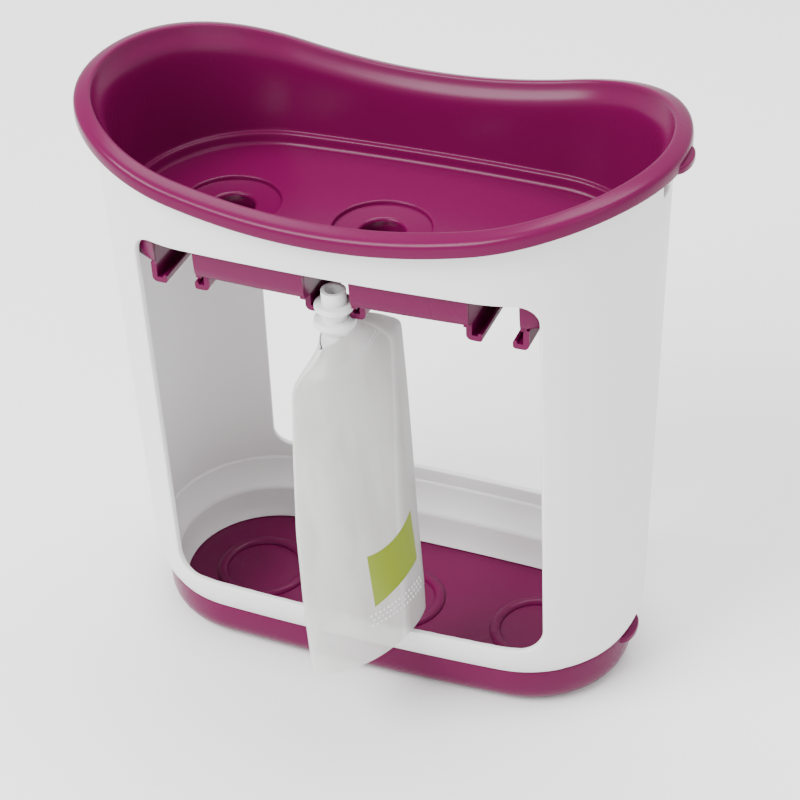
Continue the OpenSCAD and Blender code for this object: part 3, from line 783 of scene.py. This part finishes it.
holeX = [-trayLook["holePitch"], 0.0, trayLook["holePitch"]]
trayWall, tubLow, wallIn = makeTrayWall(trayLook)
settle(trayWall)
cutWith(trayWall, [channelCutter(trayLook, tubLow, x) for x in holeX])

floorBorder = ovalOutline(wallIn + trayLook["ledgeWidth"] + 0.9, 200)
floorHoles = [circleAt(trayLook["seatRadius"] + 0.9, 96, x) for x in holeX]
points, triangles = cutSheet(floorBorder, floorHoles, [])
levels = (trayLook["floor"], trayLook["floor"] - trayLook["floorThickness"])
sheets = np.concatenate([np.column_stack([points, np.full(len(points), z)]) for z in levels])
trayFloor = newPiece("trayFloor", sheets, thicken(triangles, len(points)), plastics["magenta"])
cutWith(trayFloor, [channelCutter(trayLook, tubLow, x) for x in holeX])
seats = [makeSeat(trayLook, x) for x in holeX]
for seat, x in zip(seats, holeX):
    cutWith(seat, [channelCutter(trayLook, tubLow, x), keyholeCutter(trayLook, x)])
covers = [makeChannelCover(trayLook, tubLow, x) for x in holeX]

# the snap noses stand in the shell's end slots; the one pull tab is on the right
noseTip = endIn + trayLook["noseOut"]
halfNose, halfHeight = trayLook["noseWidth"] / 2, trayLook["noseHeight"] / 2
noses = []
for side in (-1, 1):
    left, right = sorted((side * noseTip, side * (noseTip - trayLook["noseLength"])))
    low, high = (left, -halfNose, slotZ - halfHeight), (right, halfNose, slotZ + halfHeight)
    noses.append(block("nose", low, high, plastics["magenta"], trayLook["noseRound"]))
tabRoot, tabTip = stationShape["rimHalfLength"] - 3.5, stationShape["rimHalfLength"] + trayLook["tabOut"]
skirtLow = stationShape["rimMiddle"] + stationShape["rimRise"] - stationShape["skirtDepth"]
tabZ = skirtLow - trayLook["tabThickness"] + 1 + trayLook["tabRaise"]
trayTabs = makeTab("trayTab", tabRoot, tabTip, tabZ, trayLook, plastics["magenta"], sides=(1,))
trayBody = joined("trayBody", [trayWall, trayFloor, *seats, *covers, *noses, *trayTabs])
handOver(trayBody, "magenta_plastic", "tray_unit", "top_tray")
print("tray ready", len(trayBody.data.polygons))


# base: a shallow well with a rounded underside, in which the shell's tongue stands

baseLook = {"under": 1.2, "roundHeight": 9.2, "drawIn": 7.4, "endDrawIn": 4.4,
            "ringRadius": 20.0, "ringWidth": 4.6, "ringHeight": 1.6,
            "tabLength": 18.0, "tabOut": 3.4, "tabThickness": 3.0, "tabBlunt": 0.8}


def makeBase(look):
    halfLength, halfDepth = shellSize(shellLook, shellLook["footHeight"])
    top, floor = shellLook["footHeight"] - shellLook["gap"], shellLook["wellFloor"]
    wall, roundIn = shellLook["wellWall"], shellLook["wellRound"]
    drawIn, endMore = look["drawIn"], look["endDrawIn"] - look["drawIn"]
    under = look["under"]
    profile = [(drawIn + 20, under, 0, endMore), (drawIn + 1, under, 0, endMore)]
    for turn in np.radians([0, 9, 20, 32, 45, 60, 76, 90]):
        share = 1 - math.sin(turn)
        height = under + look["roundHeight"] * (1 - math.cos(turn))
        profile.append((drawIn * share, height, 0, endMore * share))
    profile += [(0, top - 1, 0), (0.1, top - 0.3, 0), (0.4, top, 0)]
    profile += [(wall - 0.4, top, 0), (wall - 0.1, top - 0.3, 0), (wall, top - 1, 0)]
    for share in (0.8, 0.6, 0.4, 0.25, 0.12, 0.05):
        profile.append((wall + roundIn * (1 - share) ** 3, floor + (top - floor) * share, 0))
    floorIn = wall + roundIn
    profile += [(floorIn + 0.5, floor + 0.1, 0), (floorIn + 2, floor, 0), (floorIn + 5, floor, 0)]
    count = 176
    points = loftRings(profile, count, halfLength, halfDepth)
    faces = ringFaces(count, len(profile), False)
    faces += [tuple(range(count - 1, -1, -1)), tuple((len(profile) - 1) * count + i for i in range(count))]
    return newPiece("baseTub", points, faces, plastics["magenta"])


def makeFloorRings(look):
    middle, tube = look["ringRadius"] - look["ringWidth"] / 2, look["ringWidth"] / 2
    pitch = trayLook["holePitch"] * mm
    grow = Growth("floorRings", middle=middle * mm, tube=tube * mm, squeeze=look["ringHeight"] / tube, count=3,
                  first=(-pitch, 0.0, shellLook["wellFloor"] * mm), step=(pitch, 0.0, 0.0))
    given = grow.given
    circle = grow.node("GeometryNodeCurvePrimitiveCircle", {}, {"Resolution": 112, "Radius": given["middle"]})
    section = grow.node("GeometryNodeCurvePrimitiveCircle", {}, {"Resolution": 24, "Radius": given["tube"]})
    ring = grow.node("GeometryNodeCurveToMesh", {}, {"Curve": circle, "Profile Curve": section})
    squeeze = grow.vector(1.0, 1.0, given["squeeze"])
    low = grow.node("GeometryNodeTransform", {}, {"Geometry": ring, "Scale": squeeze})
    line = grow.node("GeometryNodeMeshLine", {"mode": "OFFSET"},
                     {"Count": given["count"], "Start Location": given["first"], "Offset": given["step"]})
    placed = grow.node("GeometryNodeInstanceOnPoints", {}, {"Points": line, "Instance": low})
    return grow.grown("floorRings", placed, plastics["magenta"])


baseTub = makeBase(baseLook)
baseReach = float(shellSize(shellLook, shellLook["footHeight"])[0])
baseTabZ = shellLook["footHeight"] - shellLook["gap"] - baseLook["tabThickness"] - 0.4
baseTabTip = baseReach + baseLook["tabOut"]
baseTabs = makeTab("baseTab", baseReach - 2, baseTabTip, baseTabZ, baseLook, plastics["magenta"])
baseBody = joined("baseBody", [baseTub, *baseTabs])
handOver(baseBody, "magenta_plastic", "base_unit", "base")
floorRings = makeFloorRings(baseLook)
handOver(floorRings, "magenta_plastic", "base_unit", "base")
print("base ready", len(baseBody.data.polygons) + len(floorRings.data.polygons))


# pouch: a frosted film bag with a folded gusset at its rear edge, sealed round the spout's foot and open below

filmLook = {
    "spoutY": -47.5, "top": 170.4, "bottom": 37.0, "wall": 0.35, "crease": 0.64, "smooth": 3,
    "spoutHalf": 13.5, "boatHalfLength": 12.0, "boatHalfWidth": 4.25,
    "bodyTop": 150.0, "footSpan": 16.5, "footBlend": 5.0, "footRise": 8.0,
    "rows": (  # height, front edge, rear edge, thickness; x and y are measured from the spout
        (37.0, (1, -40), (21, 25), 29.0),
        (66.5, (-3, -36), (17, 30.5), 25.5),
        (95.1, (-7, -30), (14.5, 34), 21.0),
        (124.9, (-9, -24), (12, 37), 18.0),
        (153.4, (-10, -19), (10, 38), 14.4),
        (162.8, (-5, -15), (6, 26), 12.5),
        (170.4, (0, -13.5), (0, 13.5), 11.5)),
}


def filmRows(look):
    # the rows, filled in every millimetre and then rounded where they bend
    heights = np.linspace(look["bottom"], look["top"], int(look["top"] - look["bottom"]) + 1)
    table = np.array([(z, *front, *rear, thickness) for z, front, rear, thickness in look["rows"]], float)
    columns = np.stack([np.interp(heights, table[:, 0], table[:, i]) for i in range(1, 6)], -1)
    reach = look["smooth"]
    weights = np.concatenate([np.arange(1, reach + 2), np.arange(reach, 0, -1)]) / (reach + 1) ** 2
    padded = np.concatenate([np.repeat(columns[:1], reach, 0), columns, np.repeat(columns[-1:], reach, 0)])
    return heights, np.stack([np.convolve(padded[:, i], weights, "valid") for i in range(5)], -1)


def filmPoint(look, rows, s, z, side):
    # s runs from -1 at the front edge to 1 at the rear fold; side 1 is the face towards +X
    heights, columns = rows
    s, z = np.asarray(s, float), np.asarray(z, float)
    frontX, frontY, rearX, rearY, thickness = (np.interp(z, heights, columns[:, i]) for i in range(5))
    alongX, alongY = (rearX - frontX) / 2, (rearY - frontY) / 2
    length = np.hypot(alongX, alongY)
    bulge = thickness / 2 * np.maximum(0, 1 - np.abs(s) ** 2.2) ** 0.75
    crease = look["crease"]
    atCrease = thickness / 2 * (1 - crease ** 2.2) ** 0.75
    bulge = np.where(s > crease, atCrease * (1 - s) / (1 - crease), bulge)
    y = s * look["spoutHalf"]
    lens = look["boatHalfWidth"] * np.maximum(0, 1 - (y / look["boatHalfLength"]) ** 2) + 0.45
    above = z - look["bodyTop"]
    rise = np.clip(above / (look["top"] - look["bodyTop"]), 0, 1)
    rise = rise * rise * (3 - 2 * rise)
    out = bulge * (1 - rise) + lens * rise + 0.3
    # round the spout's foot the film lies outside it
    middleX, middleY = (frontX + rearX) / 2 + alongX * s, (frontY + rearY) / 2 + alongY * s
    foot = look["boatHalfWidth"] * np.maximum(0, 1 - (middleY / look["boatHalfLength"]) ** 2) + 0.5
    wrap = np.clip((look["footSpan"] - np.abs(middleY)) / look["footBlend"], 0, 1)
    wrap = wrap * np.clip(above / look["footRise"], 0, 1)
    out = side * np.maximum(out, (foot - side * middleX) * wrap)
    x = (frontX + rearX) / 2 + alongX * s + alongY / length * out
    y = (frontY + rearY) / 2 + alongY * s - alongX / length * out
    return np.stack([x, y + look["spoutY"], z], -1)


def makeFilm(look, rows, finish):
    half = 44
    s = -np.cos(np.arange(half + 1) * math.pi / half)
    heights = np.linspace(look["bottom"], look["top"], 67)
    count = 2 * half
    along = np.concatenate([s[:-1], s[:0:-1]])
    sides = np.concatenate([np.ones(half), -np.ones(half)])
    points = [filmPoint(look, rows, along, np.full(count, z), sides) for z in heights]
    film = newPiece("pouchBag", np.concatenate(points), ringFaces(count, len(heights), False), finish, 70)
    layer = film.data.uv_layers.new(name="film")
    u = np.concatenate([(s[:-1] + 1) / 2, 1 + (1 - s[:0:-1]) / 2, [2.0]])
    values = []
    for k in range(len(heights) - 1):
        low, high = k / (len(heights) - 1), (k + 1) / (len(heights) - 1)
        for i in range(count):
            values += [u[i], low, u[i + 1], low, u[i + 1], high, u[i], high]
    layer.data.foreach_set("uv", values)
    addModifier(film, "SOLIDIFY", thickness=look["wall"] * mm, offset=-1.0)
    settle(film)
    smoothen(film, 70)
    return film


bagLook = {
    "film": (0.660, 0.655, 0.640), "streak": (0.860, 0.857, 0.845),
    # the gusset colour is painted shade: a darker grey for the strip by the rear fold, where the film turns
    # away from the light
    "gussetShade": (0.430, 0.427, 0.420), "label": (0.215, 0.285, 0.004),
    "alphaTop": 0.78, "alphaBottom": 0.50, "alphaClouds": 0.09, "alphaLabel": 0.9,
    "labelFoot": (0.152, 0.046), "labelHead": (0.309, 0.044), "labelDip": 0.018, "labelSpan": (0.355, 0.790),
    "farLabel": (1.56, 1.72, 0.28, 0.44),
    "streakLine": (0.30, 0.545), "streakWidth": 0.0006, "gussetShadeSpan": (0.01, 0.09), "cloudSpan": (0.38, 0.66),
    "cloudShare": 0.45, "gussetShadeShare": 0.55, "streakShare": 0.75, "farShare": 0.9,
    "rough": (0.34, 0.52), "labelSmooth": 0.12, "wrinkle": 0.55, "wrinkleDepth": 0.0016, "wrinkleClouds": 0.25,
}


def bagFinish(look):
    # u runs from the front edge (0) to the rear fold (1) and back along the far side (2), v from foot to top
    made = Finish("frostedFilm", {"IOR": 1.46, "Specular IOR Level": 0.45})
    u = made.node("ShaderNodeSeparateXYZ", {}, {0: made.uv})
    v = Value(made, u.socket.node.outputs[1])
    left, right = look["labelSpan"]
    middle, halfSpan = (left + right) / 2, (right - left) / 2
    away = (u - middle) * (1 / halfSpan)
    foot = (u - left) * look["labelFoot"][1] + look["labelFoot"][0]
    head = (u - left) * look["labelHead"][1] + look["labelHead"][0] - (1 - away * away) * look["labelDip"]
    label = (u > left) * (u < right) * (v > foot) * (v < head)
    u0, u1, v0, v1 = look["farLabel"]
    farLabel = (u > u0) * (u < u1) * (v > v0) * (v < v1)
    nearSide = u < 1.0
    slope, start = look["streakLine"]
    streakPlace = u - (v * slope + start)
    streak = made.soft(streakPlace * streakPlace, 0.0, look["streakWidth"], 1.0, 0.0) * nearSide
    # painted shade darkens the gusset strip past the weld line, where the film turns away from the light
    gussetShade = made.soft(streakPlace, *look["gussetShadeSpan"]) * nearSide
    clouds = made.soft(made.noise(34, 3, 0.6, (1, 1, 0.3)), *look["cloudSpan"])
    colour = made.blend(clouds * look["cloudShare"], rgb(*look["film"]), rgb(*look["streak"]))
    colour = made.blend(gussetShade * look["gussetShadeShare"], colour, rgb(*look["gussetShade"]))
    colour = made.blend(streak * look["streakShare"], colour, rgb(*look["streak"]))
    colour = made.blend(farLabel * look["farShare"], colour, rgb(*look["label"]))
    colour = made.blend(label, colour, rgb(*look["label"]))
    height = made.node("ShaderNodeMapRange", {},
                       {0: v, 1: 0.05, 2: 0.5, 3: look["alphaBottom"], 4: look["alphaTop"]})
    printed = made.node("ShaderNodeMath", {"operation": "MAXIMUM"}, {0: label, 1: farLabel})
    alpha = height + clouds * look["alphaClouds"] + (1 - height) * printed * look["alphaLabel"]
    roughness = made.between(clouds, *look["rough"]) - label * look["labelSmooth"]
    made.surface({"Base Color": colour, "Alpha": alpha, "Roughness": roughness})
    wrinkles = made.noise(38, 3, 0.6, (1, 1, 0.22))
    made.bump(wrinkles + clouds * look["wrinkleClouds"], look["wrinkle"], look["wrinkleDepth"])
    return made.material


def dotField(look, rows, seal):
    # lines of dots between two (s, height) places on the film's near face, and the directions they face
    def onFilm(s, z):
        return filmPoint(look, rows, s, z, 1)

    places, facings = [], []
    start, end = np.array(seal["start"]), np.array(seal["end"])
    count = int(np.linalg.norm(onFilm(*end) - onFilm(*start)) / seal["pitch"])
    for line in range(seal["lines"]):
        for k in range(count):
            t = (k + 0.5 * (line % 2)) / count
            s, z = start * (1 - t) + end * t
            z -= line * seal["drop"]
            here = onFilm(s, z)
            places.append(here)
            facings.append(np.cross(onFilm(s + 0.01, z) - here, onFilm(s, z + 1) - here))
    return places, facings


def makeDots(name, places, facings, radius, finish):
    cloud = bpy.data.meshes.new(name)
    cloud.from_pydata([tuple(p * mm) for p in places], [], [])
    facingData = cloud.attributes.new("facing", "FLOAT_VECTOR", "POINT").data
    facingData.foreach_set("vector", np.concatenate(facings))
    grow = Growth(name, radius=radius * mm, squeeze=0.45)
    facing = grow.node("GeometryNodeInputNamedAttribute", {"data_type": "FLOAT_VECTOR"}, {"Name": "facing"})
    turn = grow.node("FunctionNodeAlignRotationToVector", {"axis": "Z"}, {"Vector": facing})
    ball = grow.node("GeometryNodeMeshUVSphere", {},
                     {"Segments": 8, "Rings": 5, "Radius": grow.given["radius"]})
    squeeze = grow.vector(1.0, 1.0, grow.given["squeeze"])
    button = grow.node("GeometryNodeTransform", {}, {"Geometry": ball, "Scale": squeeze})
    placed = grow.node("GeometryNodeInstanceOnPoints", {},
                       {"Points": grow.given["source"], "Instance": button, "Rotation": turn})
    return grow.grown(name, placed, finish, cloud)


rows = filmRows(filmLook)
filmMaterial = bagFinish(bagLook)
pouchBag = makeFilm(filmLook, rows, filmMaterial)
handOver(pouchBag, "pouch_film", "pouch", "pouch_film")
sealLook = {
    "upperSeal": {"start": (-0.53, 157.2), "end": (0.60, 160.6), "lines": 2,
                  "pitch": 1.5, "drop": 1.5, "radius": 0.42},
    "lowerSeal": {"start": (-0.36, 54.6), "end": (0.62, 52.0), "lines": 3,
                  "pitch": 2.1, "drop": 2.0, "radius": 0.62},
}
for name, seal in sealLook.items():
    dots = makeDots(name, *dotField(filmLook, rows, seal), seal["radius"], plastics["spout"])
    handOver(dots, "pouch_film", "pouch", "pouch_film")
print("pouch ready", len(pouchBag.data.polygons))

# the rails, the spout and the feet show as the solids they are
solidFinishes = {
    "magenta": ("spout_rail_left", "spout_rail_middle", "spout_rail_right"),
    "spout": ("pouch_spout",),
    "rubber": ("foot_front_left", "foot_front_right", "foot_rear_left", "foot_rear_right"),
}
for finish, nodes in solidFinishes.items():
    for node in nodes:
        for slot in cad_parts[node].material_slots:
            slot.material = plastics[finish]
